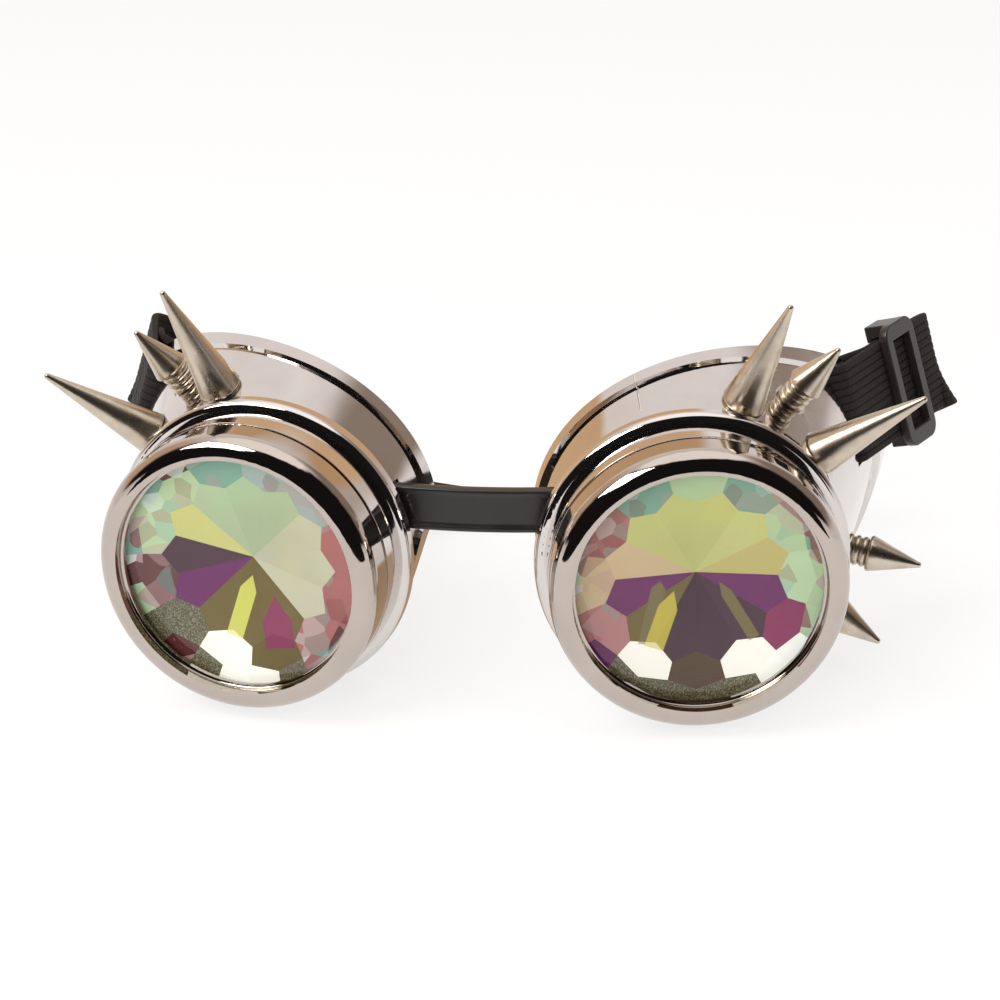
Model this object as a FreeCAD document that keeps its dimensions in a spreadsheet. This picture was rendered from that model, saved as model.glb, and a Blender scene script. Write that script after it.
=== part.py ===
import FreeCAD, Part
import Sketcher
import math
import os
from FreeCAD import Placement, Rotation, Vector

doc = FreeCAD.newDocument("goggles")
sheet = doc.addObject("Spreadsheet::Sheet", "sizes")

# Driving sizes in millimetres and degrees. A cup's own frame has its origin at the centre of the lens
# opening, x towards the temple, y towards the face and z up.
SIZES = [
    # Whole object
    ("eye_spacing", "87.7"), ("toe_out", "9.2"), ("axis_height", "=bead_radius"),
    ("frame_shift", "=bridge_arc_y - bridge_arc"),
    # Lens ring, screwed on the front of each cup
    ("opening_radius", "=lens_radius - lens_hold"), ("lens_hold", "1.65"), ("ring_lip", "0.65"),
    ("ring_wall", "1.7"),
    ("ring_radius", "=thread_radius + ring_wall"), ("ring_front", "2.65"), ("ring_roll_back", "0.9"),
    ("ring_roll", "3.6"), ("ring_lip_back", "0.9"), ("ring_back", "5.8"), ("ring_edge", "0.5"),
    ("spigot_wall", "1.25"), ("thread_radius", "=lens_bore + spigot_wall"), ("thread_clearance", "0.1"),
    ("roll_inner", "=opening_radius + ring_lip"), ("ring_bore", "=thread_radius + thread_clearance"),
    ("ring_side_back", "=ring_back - ring_edge"), ("ring_back_radius", "=ring_radius - ring_edge"),
    # Washer that lets the ring turn without turning the lens
    ("washer_gap", "0.3"), ("washer_inner", "=opening_radius + washer_gap"),
    ("washer_outer", "=thread_radius - washer_gap"), ("washer_front", "1.0"), ("washer_back", "1.3"),
    # Crystal lens with a flat front and a faceted, pointed back
    ("lens_radius", "24.9"), ("lens_front", "1.6"), ("lens_depth", "6.8"), ("lens_chamfer", "0.5"),
    ("facet_count", "12"), ("main_slope", "9.5"), ("star_slope", "15"),
    ("star_radius", "=0.615 * lens_radius"), ("lens_turn", "=180 / facet_count"),
    ("rim_slope", "24"), ("rim_radius", "=0.88 * lens_radius"), ("cut_reach", "=lens_radius + 5"),
    ("culet_y", "=lens_front + lens_depth"), ("cut_top", "=culet_y + 3"),
    ("lens_table", "=lens_radius - lens_chamfer"), ("lens_edge", "=lens_front + lens_chamfer"),
    ("main_low", "=culet_y - tan(main_slope) * cut_reach"),
    ("star_apex", "=culet_y + (tan(star_slope) - tan(main_slope) * cos(180 / facet_count)) * star_radius"),
    ("star_low", "=star_apex - tan(star_slope) * cut_reach"),
    ("star_start", "=(star_apex - cut_top) / tan(star_slope)"),
    ("rim_apex", "=star_apex + (tan(rim_slope) - tan(star_slope)) * rim_radius"),
    ("rim_low", "=rim_apex - tan(rim_slope) * cut_reach"),
    ("rim_start", "=(rim_apex - cut_top) / tan(rim_slope)"),
    # Gasket behind the lens
    ("gasket_gap", "0.15"), ("gasket_inner", "=seat_inner + gasket_gap"),
    ("gasket_outer", "=lens_bore - gasket_gap"), ("gasket_play", "0.01"), ("gasket_thickness", "0.7"),
    ("gasket_front", "=rim_apex - tan(rim_slope) * gasket_inner * cos(90 / facet_count) + gasket_play"),
    ("seat_y", "=gasket_front + gasket_thickness"),
    # Cup shell
    ("spigot_front", "1.6"), ("lens_clearance", "0.25"), ("lens_bore", "=lens_radius + lens_clearance"),
    ("seat_width", "1.6"), ("seat_inner", "=lens_radius - seat_width"), ("seat_back", "5.6"),
    ("shoulder_y", "6.1"), ("collar_step", "0.2"), ("collar_radius", "=ring_radius + collar_step"),
    ("bead_front", "12.6"), ("bead_step", "1.9"),
    ("bead_radius", "=collar_radius + bead_step"),
    ("bead_roll", "1.5"), ("bead_back", "15.6"), ("band_step", "1"),
    ("band_radius", "=bead_radius - band_step"), ("band_front", "16.4"),
    ("band_back", "18"), ("wall", "2.0"), ("collar_inner_back", "12.0"),
    ("bead_roll_radius", "=bead_radius - bead_roll"), ("bead_roll_y", "=bead_front + bead_roll"),
    ("collar_inner", "=collar_radius - wall"), ("band_inner", "=band_radius - wall"),
    ("collar_inner_front", "=shoulder_y + 0.5"),
    # Flare behind the band: a cone whose axis leans up and towards the temple
    ("flare_step", "0.9"), ("flare_start_radius", "=band_radius - flare_step"), ("flare_spread", "11.1"),
    ("flare_lean", "10"), ("flare_lean_up", "45"),
    ("flare_back", "50"), ("flare_front", "10"), ("flare_trim", "17"), ("half_wall", "=wall / 2"),
    ("flare_front_radius", "=flare_start_radius - flare_front * tan(flare_spread)"),
    ("flare_back_radius", "=flare_start_radius + flare_back * tan(flare_spread)"),
    ("flare_front_inner", "=flare_front_radius - wall"), ("flare_back_inner", "=flare_back_radius - wall"),
    ("lip_front_outer", "=flare_front_radius + rim_lip"),
    ("lip_back_outer", "=flare_back_radius + rim_lip"),
    ("lip_front_inner", "=flare_front_radius - half_wall"),
    ("lip_back_inner", "=flare_back_radius - half_wall"),
    ("rim_lip", "0.9"), ("rim_width", "2.8"),
    # Rear rim, cut to the curve of a face with a hollow for the nose
    ("face_radius", "72"), ("face_x", "-15"), ("face_y", "31"), ("nose_radius", "18"), ("nose_y", "38"),
    ("nose_z", "-14"), ("nose_reach", "-12"), ("cutter_height", "140"),
    ("trim_long", "=2 * flare_trim + flare_front"), ("trim_side", "=4 * flare_start_radius"),
    ("face_band_radius", "=face_radius + rim_width"),
    ("nose_band_radius", "=nose_radius + rim_width"), ("nose_depth", "50"),
    # Spikes
    ("short_top_y", "28"), ("short_middle_y", "31"), ("short_low_y", "30"),
    ("long_radius_foot", "=long_radius - spike_edge"), ("short_radius_foot", "=short_radius - spike_edge"),
    ("long_length_tip", "=long_length - tip_radius"), ("short_length_tip", "=short_length - tip_radius"),
    ("stack_one", "=stack_height / 3"), ("stack_two", "=stack_height * 2 / 3"),
    ("head_back", "=grip + head_height"), ("head_side", "=grip + head_height / 2"),
    ("head_crown", "=head_radius * 0.6"), ("long_screw", "=screw_reach"),
    ("short_screw", "=stack_height + screw_reach"), ("long_spot", "=long_radius + spot_clearance"),
    ("stack_spot", "=stack_neck + stack_roll + spot_clearance"),
    ("head_spot", "=head_radius + spot_clearance"),
    ("drill_reach", "8"),
    ("long_length", "24.5"), ("long_radius", "4.25"), ("long_lean", "19"), ("long_y", "21.5"),
    ("short_length", "10.8"), ("short_radius", "3.6"), ("short_lean", "16"), ("spike_sink", "0.4"),
    ("tip_radius", "0.6"), ("spike_edge", "0.7"), ("stack_height", "4.4"), ("stack_neck", "2.5"),
    ("stack_roll", "0.78"), ("screw_radius", "1.5"), ("screw_clearance", "0.1"), ("screw_reach", "3.6"),
    ("head_radius", "2.8"), ("head_height", "1.4"), ("grip", "1.5"), ("spot_clearance", "0.2"),
    ("spike_bore", "=screw_radius + screw_clearance"), ("bore_depth", "=screw_reach + 0.4"),
    # Bridge strip, an arc between the noses of the two cups with a cross bar inside each
    ("bridge_height", "8.8"), ("bridge_thickness", "1.7"), ("bridge_z", "8.7"), ("bridge_y", "20.2"),
    ("bar_gap", "2.3"), ("bridge_end", "=bridge_bar_radius - 0.3"), ("bridge_rib", "1.1"),
    ("bridge_rib_proud", "0.35"), ("bridge_bar", "12.6"),
    ("bridge_bar_depth", "2.0"), ("bridge_bar_y", "3.2"), ("bridge_bar_radius", "=band_inner - bar_gap"),
    ("slot_clearance", "0.4"),
    ("bridge_half", "=eye_spacing / 2 - bridge_end * cos(toe_out) - bridge_y * sin(toe_out)"),
    ("bridge_end_y", "=bridge_y * cos(toe_out) - bridge_end * sin(toe_out)"),
    ("bridge_arc", "=bridge_half / sin(toe_out)"),
    ("bridge_arc_y", "=bridge_end_y + bridge_arc * cos(toe_out)"),
    ("web_front", "=bridge_arc + bridge_thickness / 2"), ("web_back", "=bridge_arc - bridge_thickness / 2"),
    ("rib_front", "=web_front + bridge_rib_proud"), ("rib_back", "=web_back - bridge_rib_proud"),
    ("web_front_x", "=web_front * sin(toe_out)"), ("web_front_y", "=web_front * cos(toe_out)"),
    ("web_back_x", "=web_back * sin(toe_out)"), ("web_back_y", "=web_back * cos(toe_out)"),
    ("rib_front_x", "=rib_front * sin(toe_out)"), ("rib_front_y", "=rib_front * cos(toe_out)"),
    ("rib_back_x", "=rib_back * sin(toe_out)"), ("rib_back_y", "=rib_back * cos(toe_out)"),
    ("rib_z", "=(bridge_height - bridge_rib) / 2"), ("nose_slot_long", "18"),
    ("nose_slot_wide", "=bridge_thickness + 2 * bridge_rib_proud + 2 * slot_clearance"),
    ("nose_slot_high", "=bridge_height + 2 * slot_clearance"),
    # Strap, in its own frame along its straight stretch: x runs along it and y points at the wearer
    ("strap_width", "20"), ("strap_thickness", "1.3"), ("strap_angle", "62.3"), ("strap_inset", "0.9"),
    ("strap_y", "45.5"), ("strap_heading", "64"), ("left_heading", "76"), ("strap_tilt", "17"),
    ("strap_straight", "32"),
    ("loop_radius", "2.5"), ("loop_centre", "3.2"), ("tail_end", "26"), ("bar_half", "1.5"),
    ("join_start", "3.0"), ("join_end", "8.5"), ("layer_gap", "0.1"), ("strap_rear_y", "107"),
    ("right_ease_out", "12"), ("right_ease_in", "45"), ("left_ease_out", "14"), ("left_ease_in", "45"),
    ("left_straight", "17"), ("left_join_end", "6.5"), ("left_run", "=left_straight + loop_centre"),
    ("table_gap", "0.05"),
    ("loop_outer", "=loop_radius + strap_thickness / 2"),
    ("loop_inner", "=loop_radius - strap_thickness / 2"),
    ("outer_run", "=strap_straight + loop_centre"), ("inner_run", "=join_start + loop_centre"),
    ("tail_y", "=loop_radius - strap_thickness - layer_gap"), ("tail_run", "=tail_end - join_end"),
    ("temple_slot_wide", "3.0"), ("temple_slot_front", "6.8"), ("strap_opening", "=strap_width + 0.7"),
    ("slot_depth", "8"), ("bar_reach", "14"), ("bar_back", "2.2"),
    ("tail_front", "=tail_y + strap_thickness / 2"), ("tail_back", "=tail_y - strap_thickness / 2"),
    # Buckle on the right-hand stretch of the strap
    ("buckle_start", "11"), ("buckle_length", "12"), ("buckle_height", "25.5"), ("buckle_face", "1.8"),
    ("buckle_bar", "2.4"), ("buckle_clearance", "0.3"), ("buckle_back", "1.2"), ("buckle_round", "3.0"),
    ("buckle_face_y", "=loop_outer + buckle_clearance"),
    ("buckle_back_y", "=buckle_clearance + buckle_back - tail_y + strap_thickness / 2"),
    ("buckle_leg", "=buckle_face_y + buckle_back_y"), ("buckle_half", "=buckle_height / 2"),
    ("buckle_leg_z", "=strap_width / 2 + buckle_clearance"),
    ("buckle_end", "=buckle_start + buckle_length"),
    ("buckle_round_z", "=buckle_half - buckle_round"), ("buckle_round_a", "=buckle_start + buckle_round"),
    ("buckle_round_b", "=buckle_end - buckle_round"), ("window_z", "9.4"),
    ("window_a", "=buckle_start + buckle_bar"),
    ("window_b", "=buckle_start + (buckle_length - buckle_bar) / 2"),
    ("window_c", "=buckle_start + (buckle_length + buckle_bar) / 2"),
    ("window_d", "=buckle_end - buckle_bar"),
]
for row, (alias, text) in enumerate(SIZES, start=1):
    sheet.set("A%d" % row, alias)
    sheet.setAlias("B%d" % row, alias)
for row, (alias, text) in enumerate(SIZES, start=1):
    sheet.set("B%d" % row, text)
doc.recompute()


def size(name):
    if name == 0:
        return 0.0
    value = float(sheet.get(name.lstrip("-")))
    return -value if name.startswith("-") else value


def bound(name):
    return "-sizes." + name[1:] if name.startswith("-") else "sizes." + name


def new_body(label):
    body = doc.addObject("PartDesign::Body", label)
    body.Label = label
    body.AllowCompound = True
    return body


def new_sketch(body, role, offset=0, turn=None):
    sketch = body.newObject("Sketcher::SketchObject", body.Label + "_sketch")
    plane = [f for f in body.Origin.OriginFeatures if f.Role == role][0]
    sketch.AttachmentSupport = [(plane, "")]
    sketch.MapMode = "FlatFace"
    rotation = Rotation() if turn is None else turn
    sketch.AttachmentOffset = Placement(Vector(0, 0, size(offset)), rotation)
    if offset != 0:
        sketch.setExpression("AttachmentOffset.Base.z", bound(offset))
    return sketch


def pin_point(sketch, geo, pos, x, y):
    # Ties a sketch point to named sizes, measured from the sketch's origin
    for kind, name, axis in (("DistanceX", x, -2), ("DistanceY", y, -1)):
        if name == 0:
            sketch.addConstraint(Sketcher.Constraint("PointOnObject", geo, pos, axis))
        else:
            index = sketch.addConstraint(Sketcher.Constraint(kind, -1, 1, geo, pos, size(name)))
            sketch.setExpression("Constraints[%d]" % index, bound(name))


def outline(sketch, points, arcs=None):
    # Closed outline through named points; arcs maps a segment to its radius, plus to bulge to the right
    # of the direction of travel
    arcs = arcs or {}
    count = len(points)
    spots = [Vector(size(x), size(y), 0) for x, y in points]
    for i in range(count):
        a, b = spots[i], spots[(i + 1) % count]
        if i not in arcs:
            sketch.addGeometry(Part.LineSegment(a, b))
            continue
        radius_name = arcs[i]
        radius = abs(size(radius_name))
        side = 1.0 if size(radius_name) > 0 else -1.0
        chord = b - a
        right = Vector(chord.y, -chord.x, 0).normalize()
        height = math.sqrt(max(radius * radius - chord.Length * chord.Length / 4, 0))
        middle = (a + b) * 0.5
        crown = middle + right * side * (radius - height)
        sketch.addGeometry(Part.Arc(a, crown, b) if side > 0 else Part.Arc(b, crown, a))
    ends = []
    for i in range(count):
        geo = sketch.Geometry[i]
        first_is_start = True
        if i in arcs:
            first_is_start = geo.StartPoint.sub(spots[i]).Length < 1e-6
        ends.append((1, 2) if first_is_start else (2, 1))
    for i in range(count):
        j = (i + 1) % count
        sketch.addConstraint(Sketcher.Constraint("Coincident", i, ends[i][1], j, ends[j][0]))
    for i, (x, y) in enumerate(points):
        pin_point(sketch, i, ends[i][0], x, y)
    for i, name in arcs.items():
        index = sketch.addConstraint(Sketcher.Constraint("Radius", i, abs(size(name))))
        sketch.setExpression("Constraints[%d]" % index, "sizes." + name.lstrip("-"))


def revolve(body, sketch, axis="V_Axis"):
    feature = body.newObject("PartDesign::Revolution", body.Label + "_turned")
    feature.Profile = sketch
    feature.ReferenceAxis = (sketch, [axis])
    feature.Angle = 360
    doc.recompute()
    return feature


def turned(label, points, arcs=None):
    # A piece turned about its frame's y axis from (radius, y) points
    body = new_body(label)
    sketch = new_sketch(body, "XY_Plane")
    outline(sketch, points, arcs)
    revolve(body, sketch)
    return body


def boolean(kind, label, shapes):
    feature = doc.addObject("Part::" + kind, label)
    feature.Label = label
    if kind == "Cut":
        feature.Base, feature.Tool = shapes
    elif kind == "Compound":
        feature.Links = shapes
    else:
        feature.Shapes = shapes
    return feature


def primitive(kind, label, sizes, place=None):
    feature = doc.addObject("Part::" + kind, label)
    for prop, name in sizes.items():
        feature.setExpression(prop, bound(name))
    if place is not None:
        feature.Placement = place
    return feature


def tip_at(body, feature):
    body.Tip = feature
    doc.recompute()


RIGHT = Placement(Vector(size("eye_spacing") / 2, -size("frame_shift"), size("axis_height")),
                  Rotation(Vector(0, 0, 1), size("toe_out")))

# Lens ring, washer and gasket
ring = turned("lens_ring_right", [
    ("opening_radius", "ring_lip_back"), ("opening_radius", 0), ("roll_inner", 0),
    ("roll_inner", "-ring_front"), ("ring_radius", "ring_roll_back"), ("ring_radius", "ring_side_back"),
    ("ring_back_radius", "ring_back"),
    ("ring_bore", "ring_back"), ("ring_bore", "ring_lip_back")], {3: "ring_roll", 5: "ring_edge"})
washer = turned("slip_washer_right", [
    ("washer_inner", "washer_front"), ("washer_outer", "washer_front"),
    ("washer_outer", "washer_back"), ("washer_inner", "washer_back")])
gasket = turned("lens_gasket_right", [
    ("gasket_inner", "gasket_front"), ("gasket_outer", "gasket_front"),
    ("gasket_outer", "seat_y"), ("gasket_inner", "seat_y")])

# Crystal lens: a disc whose back is cut by three rows of flat facets, as a gem cutter does it
lens = new_body("crystal_lens_right")
lens_sketch = new_sketch(lens, "XY_Plane")
outline(lens_sketch, [(0, "lens_front"), ("lens_table", "lens_front"), ("lens_radius", "lens_edge"),
                      ("lens_radius", "culet_y"), (0, "culet_y")])
revolve(lens, lens_sketch)


def facet_row(name, points, count, turn):
    sketch = new_sketch(lens, "XY_Plane", 0, Rotation(Vector(0, 1, 0), turn))
    outline(sketch, points)
    pocket = lens.newObject("PartDesign::Pocket", name)
    pocket.Profile = sketch
    pocket.Type = "ThroughAll"
    pocket.Midplane = True
    doc.recompute()
    row = lens.newObject("PartDesign::PolarPattern", name + "_row")
    row.Originals = [pocket]
    row.Axis = (lens_sketch, ["V_Axis"])
    row.Angle = 360
    row.Occurrences = count
    tip_at(lens, row)


FACETS = int(size("facet_count"))
STEP = 360.0 / FACETS
facet_row("main_facets", [(0, "culet_y"), ("cut_reach", "main_low"), ("cut_reach", "cut_top"),
                          (0, "cut_top")], FACETS, 0)
facet_row("star_facets", [("star_start", "cut_top"), ("cut_reach", "star_low"), ("cut_reach", "cut_top")],
          FACETS, STEP / 2)
facet_row("rim_facets", [("rim_start", "cut_top"), ("cut_reach", "rim_low"), ("cut_reach", "cut_top")],
          2 * FACETS, STEP / 4)

# Cup shell: a turned front with a leaning cone behind it
shell = turned("cup_shell", [
    ("thread_radius", "spigot_front"), ("thread_radius", "shoulder_y"), ("collar_radius", "shoulder_y"),
    ("collar_radius", "bead_front"), ("bead_roll_radius", "bead_front"), ("bead_radius", "bead_roll_y"),
    ("bead_radius", "bead_back"), ("band_radius", "band_front"), ("band_radius", "band_back"),
    ("band_inner", "band_back"), ("band_inner", "bead_back"), ("collar_inner", "collar_inner_back"),
    ("collar_inner", "collar_inner_front"), ("seat_inner", "seat_back"), ("seat_inner", "seat_y"),
    ("lens_bore", "seat_y"), ("lens_bore", "spigot_front")], {4: "bead_roll"})
LEAN = math.radians(size("flare_lean"))
LEAN_UP = math.radians(size("flare_lean_up"))
FLARE_AXIS = Vector(math.sin(LEAN) * math.cos(LEAN_UP), math.cos(LEAN), math.sin(LEAN) * math.sin(LEAN_UP))
FLARE = Placement(Vector(0, size("band_back"), 0), Rotation(Vector(0, 1, 0), FLARE_AXIS))
flare = turned("flare", [
    ("flare_front_inner", "-flare_front"), ("flare_front_radius", "-flare_front"),
    ("flare_back_radius", "flare_back"), ("flare_back_inner", "flare_back")])
flare.Placement = FLARE

# Rolled lip along the rear edge: a slightly larger cone, kept only in a band next to the two cuts
lip = turned("lip", [
    ("lip_front_inner", "-flare_front"), ("lip_front_outer", "-flare_front"),
    ("lip_back_outer", "flare_back"), ("lip_back_inner", "flare_back")])
lip.Placement = FLARE


def face_cutter(label, radius):
    centre = Vector(size("face_x"), size("face_y") + size("face_radius"), -size("cutter_height") / 2)
    place = Placement(centre, Rotation())
    return primitive("Cylinder", label, {"Radius": radius, "Height": "cutter_height"}, place)


def nose_cutter(label, radius):
    centre = Vector(size("nose_reach"), size("nose_y"), size("nose_z"))
    place = Placement(centre, Rotation(Vector(0, 1, 0), -90))
    return primitive("Cylinder", label, {"Radius": radius, "Height": "nose_depth"}, place)


rear_cut = boolean("MultiFuse", "rear_cut",
                   [face_cutter("face_cut", "face_radius"), nose_cutter("nose_cut", "nose_radius")])
face_band = face_cutter("face_band", "face_band_radius")
nose_band = nose_cutter("nose_band", "nose_band_radius")
rear_band = boolean("MultiFuse", "rear_band", [face_band, nose_band])
half_trim = size("trim_side") / 2
trim_corner = Vector(-half_trim, size("flare_trim") - size("trim_long"), -half_trim)
front_trim = primitive("Box", "front_trim",
                       {"Length": "trim_side", "Width": "trim_long", "Height": "trim_side"},
                       Placement(trim_corner, Rotation()))
flare_trims = boolean("MultiFuse", "flare_trims", [front_trim, rear_cut])
rim_blank = boolean("MultiCommon", "rim_blank", [lip, rear_band])
rim = boolean("Cut", "rim", [rim_blank, flare_trims])
trimmed_flare = boolean("Cut", "trimmed_flare", [flare, flare_trims])
cup_blank = boolean("MultiFuse", "cup_blank", [shell, trimmed_flare, rim])
doc.recompute()

# Spikes: where each stands, as degrees from the top of the cup towards the temple, and its depth
LONG_SPIKES = (("long_top", 19.4, "long_y"), ("long_side", 53.9, "long_y"))
SHORT_SPIKES = (("short_top", 36.7, "short_top_y"), ("short_middle", 100.0, "short_middle_y"),
                ("short_low", 122.0, "short_low_y"))
# The left cup carries only the first three of them, the two long ones and the short one between
LEFT_COUNT = 3


def flare_radius(angle, depth):
    # Outer radius of the flare at an angle from the top towards the temple
    out = Vector(math.sin(math.radians(angle)), 0, math.cos(math.radians(angle)))
    spread = math.tan(math.radians(size("flare_spread")))
    low, high = 10.0, 60.0
    for _ in range(50):
        radius = (low + high) / 2
        spot = out * radius + Vector(0, depth - size("band_back"), 0)
        along = spot.dot(FLARE_AXIS)
        away = (spot - FLARE_AXIS * along).Length
        if away < size("flare_start_radius") + along * spread:
            low = radius
        else:
            high = radius
    return radius


def spike_place(angle, depth, lean):
    # Frame of a spike: z points out of the cup, and the origin is in its seat
    seat = flare_radius(angle, depth) - size("spike_sink")
    around = Placement(Vector(0, 0, 0), Rotation(Vector(0, 1, 0), angle))
    return around * Placement(Vector(0, depth, seat), Rotation(Vector(1, 0, 0), lean))


def standing(label, points, arcs, place):
    # A piece turned about the z axis of its own frame
    body = new_body(label)
    sketch = new_sketch(body, "XZ_Plane")
    outline(sketch, points, arcs)
    revolve(body, sketch)
    body.Placement = place
    return body


def cone_points(length, radius):
    return [("spike_bore", 0), (radius + "_foot", 0), (radius, "spike_edge"),
            ("tip_radius", length + "_tip"), (0, length), (0, "bore_depth"), ("spike_bore", "bore_depth")]


def drill(label, radius, place):
    return primitive("Cylinder", label, {"Radius": radius, "Height": "drill_reach"}, place)


STACK = [("spike_bore", 0), ("stack_neck", 0), ("stack_neck", "stack_one"), ("stack_neck", "stack_two"),
         ("stack_neck", "stack_height"), ("spike_bore", "stack_height")]
STACK_ROLLS = {1: "stack_roll", 2: "stack_roll", 3: "stack_roll"}
long_spikes = []
short_spikes = []
stacks = []
screws = []
drills = []
for name, angle, depth in LONG_SPIKES + SHORT_SPIKES:
    is_long = name.startswith("long")
    lean = size("long_lean") if is_long else size("short_lean")
    place = spike_place(angle, size(depth), lean)
    above = Placement(Vector(0, 0, 0 if is_long else size("stack_height")), Rotation())
    if is_long:
        long_spikes.append(standing(name + "_spike", cone_points("long_length", "long_radius"),
                                    {1: "spike_edge", 3: "tip_radius"}, place))
    else:
        short_spikes.append(standing(name + "_spike", cone_points("short_length", "short_radius"),
                                     {1: "spike_edge", 3: "tip_radius"}, place * above))
        stacks.append(standing(name + "_stack", STACK, STACK_ROLLS, place))
    reach = "long_screw" if is_long else "short_screw"
    screws.append(standing(name + "_screw", [
        (0, "-head_back"), ("head_crown", "-head_back"), ("head_radius", "-head_side"),
        ("head_radius", "-grip"), ("screw_radius", "-grip"), ("screw_radius", reach), (0, reach)], {}, place))
    foot = "long_spot" if is_long else "stack_spot"
    middle_place = place * Placement(Vector(0, 0, -size("drill_reach") / 2), Rotation())
    inside_place = place * Placement(Vector(0, 0, -size("grip")), Rotation(Vector(1, 0, 0), 180))
    drills.append([drill(name + "_seat", foot, place), drill(name + "_hole", "spike_bore", middle_place),
                   drill(name + "_head_seat", "head_spot", inside_place)])
doc.recompute()

# Slots for the bridge strip and the strap
strap_seat = flare_radius(size("strap_angle"), size("strap_y")) - size("strap_inset")
strap_turn = math.radians(size("strap_angle"))
strap_foot = Vector(strap_seat * math.sin(strap_turn), size("strap_y"), strap_seat * math.cos(strap_turn))


def strap_frame(heading):
    # Frame of a strap where it leaves the cup, for a heading in the goggles' own frame
    turn = Rotation(Vector(0, 0, 1), size(heading) - size("toe_out"))
    return Placement(strap_foot, turn * Rotation(Vector(1, 0, 0), -size("strap_tilt")))


def block(label, sizes, corner, frame):
    # A box with its lowest corner at a point of the given frame
    length, width, height = sizes
    return primitive("Box", label, {"Length": length, "Width": width, "Height": height},
                     frame * Placement(Vector(*corner), Rotation()))


def strap_slots(side, frame):
    # The slot the strap goes through, and the cuts that leave a bar behind it and a notch in the rim
    low = -size("strap_opening") / 2
    deep = size("slot_depth")
    bar_front = size("temple_slot_wide") - size("temple_slot_front") - 0.01
    bar_cut = ("bar_reach", "slot_depth", "strap_opening")
    return [
        block("temple_slot_" + side, ("temple_slot_wide", "slot_depth", "strap_opening"),
              (-size("temple_slot_front"), -deep / 2, low), frame),
        block("bar_outside_" + side, bar_cut, (bar_front, -deep - size("bar_half"), low), frame),
        block("bar_inside_" + side, bar_cut, (bar_front, size("bar_half"), low), frame),
        block("bar_behind_" + side, bar_cut, (size("bar_back"), -deep / 2, low), frame)]


nose_slot = block("nose_slot", ("nose_slot_long", "nose_slot_wide", "nose_slot_high"),
                  (-size("nose_slot_long") - 20, size("bridge_y") - size("nose_slot_wide") / 2,
                   size("bridge_z") - size("nose_slot_high") / 2), Placement())
STRAP = strap_frame("strap_heading")
LEFT_STRAP = strap_frame("left_heading")
cup_cuts = boolean("MultiFuse", "cup_cuts",
                   [nose_slot] + strap_slots("right", STRAP) + sum(drills, []))
eyecup = boolean("Cut", "eyecup_right", [cup_blank, cup_cuts])
left_cuts = boolean("MultiFuse", "left_cuts",
                    [nose_slot] + strap_slots("left", LEFT_STRAP) + sum(drills[:LEFT_COUNT], []))
left_cup = boolean("Cut", "left_cup", [cup_blank, left_cuts])
doc.recompute()

# Bridge strip
bridge_web = new_body("bridge_web")


def bridge_band(name, front, back, offset, height):
    sketch = new_sketch(bridge_web, "XY_Plane", offset)
    outline(sketch, [("-" + front + "_x", "-" + front + "_y"), (front + "_x", "-" + front + "_y"),
                     (back + "_x", "-" + back + "_y"), ("-" + back + "_x", "-" + back + "_y")],
            {0: front, 2: "-" + back})
    pad = bridge_web.newObject("PartDesign::Pad", name)
    pad.Profile = sketch
    pad.Midplane = True
    pad.Length = size(height)
    pad.setExpression("Length", bound(height))
    tip_at(bridge_web, pad)


bridge_band("web", "web_front", "web_back", 0, "bridge_height")
bridge_band("top_rib", "rib_front", "rib_back", "rib_z", "bridge_rib")
bridge_band("bottom_rib", "rib_front", "rib_back", "-rib_z", "bridge_rib")
bridge_web.Placement = Placement(Vector(0, size("bridge_arc_y") - size("frame_shift"),
                                        size("axis_height") + size("bridge_z")), Rotation())
bar_turn = math.degrees(math.asin(size("bridge_z") / size("bridge_bar_radius")))
bar_frame = RIGHT * Placement(Vector(0, size("bridge_y"), 0), Rotation(Vector(0, 1, 0), 180 + bar_turn))
bridge_bar_right = block("bridge_bar_right", ("bridge_bar_depth", "bridge_bar_y", "bridge_bar"),
                         (size("bridge_bar_radius") - size("bridge_bar_depth"), -size("bridge_bar_y") / 2,
                          -size("bridge_bar") / 2), bar_frame)


def mirrored(label, source):
    feature = doc.addObject("Part::Mirroring", label)
    feature.Label = label
    feature.Source = source
    feature.Normal = (1, 0, 0)
    return feature


bridge_bar_left = mirrored("bridge_bar_left", bridge_bar_right)
bridge = boolean("MultiFuse", "bridge_strip", [bridge_web, bridge_bar_right, bridge_bar_left])
doc.recompute()

# Strap on the right: through the temple slot, round the bar and back under the buckle
half_strap = size("strap_width") / 2
layer = size("strap_thickness") / 2
outer_layer = block("outer_layer", ("outer_run", "strap_thickness", "strap_width"),
                    (-size("loop_centre"), -size("loop_radius") - layer, -half_strap), Placement())
inner_layer = block("inner_layer", ("inner_run", "strap_thickness", "strap_width"),
                    (-size("loop_centre"), size("loop_radius") - layer, -half_strap), Placement())
tail = block("tail", ("tail_run", "strap_thickness", "strap_width"),
             (size("join_end"), -size("tail_y") - layer, -half_strap), Placement())
loop_place = Placement(Vector(-size("loop_centre"), 0, -half_strap), Rotation(Vector(0, 0, 1), 90))
loop_out = primitive("Cylinder", "loop_out", {"Radius": "loop_outer", "Height": "strap_width"}, loop_place)
loop_out.Angle = 180
loop_in = primitive("Cylinder", "loop_in", {"Radius": "loop_inner", "Height": "strap_width"}, loop_place)
loop_in.Angle = 180
loop = boolean("Cut", "loop", [loop_out, loop_in])


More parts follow.
